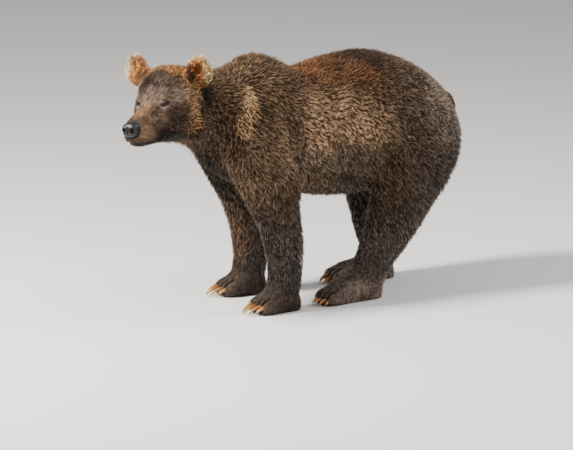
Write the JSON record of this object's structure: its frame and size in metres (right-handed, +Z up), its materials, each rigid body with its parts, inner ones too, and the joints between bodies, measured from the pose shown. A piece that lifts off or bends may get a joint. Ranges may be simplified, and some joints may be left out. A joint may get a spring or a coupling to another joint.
{
  "type": "grizzly bear",
  "caption": "Life-size grizzly bear standing on all fours, head turned to its left and slightly lowered, with a shaggy brown coat, a shoulder hump, round ears and long curved claws.",
  "frame": {"origin": "on the floor under the middle of the bear's bounding box, in the plane its soles rest on", "axes": "+Z up, +Y towards the bear's rump, +X to the bear's left; the bear faces -Y"},
  "size_m": [0.504, 1.5478, 0.9962],
  "materials": {
    "coat_body": "long dark brown fur with golden tips",
    "coat_legs": "dark chocolate fur, damp towards the feet",
    "coat_head": "short greyish brown fur, tan on the muzzle",
    "coat_ears": "orange-tan fur with a cream fringe",
    "nose_skin": "bare black skin, damp",
    "eye_gloss": "wet dark brown eye",
    "claw_horn": "smooth horn, orange-brown to ivory"
  },
  "bodies": {
    "root": {"trunk": "coat_body", "neck": "coat_body", "tail": "coat_body", "upper_arm_left": "coat_legs", "upper_arm_right": "coat_legs", "forearm_left": "coat_legs", "forearm_right": "coat_legs", "fore_paw_left": "coat_legs", "fore_paw_right": "coat_legs", "thigh_left": "coat_legs", "thigh_right": "coat_legs", "shank_left": "coat_legs", "shank_right": "coat_legs", "hind_paw_left": "coat_legs", "hind_paw_right": "coat_legs", "head": "coat_head", "lower_jaw": "coat_head", "ear_left": "coat_ears", "ear_right": "coat_ears", "nose": "nose_skin", "eye_left": "eye_gloss", "eye_right": "eye_gloss", "claw_fore_left_1": "claw_horn", "claw_fore_left_2": "claw_horn", "claw_fore_left_3": "claw_horn", "claw_fore_left_4": "claw_horn", "claw_fore_left_5": "claw_horn", "claw_fore_right_1": "claw_horn", "claw_fore_right_2": "claw_horn", "claw_fore_right_3": "claw_horn", "claw_fore_right_4": "claw_horn", "claw_fore_right_5": "claw_horn", "claw_hind_left_1": "claw_horn", "claw_hind_left_2": "claw_horn", "claw_hind_left_3": "claw_horn", "claw_hind_left_4": "claw_horn", "claw_hind_left_5": "claw_horn", "claw_hind_right_1": "claw_horn", "claw_hind_right_2": "claw_horn", "claw_hind_right_3": "claw_horn", "claw_hind_right_4": "claw_horn", "claw_hind_right_5": "claw_horn"}
  },
  "joints": []
}
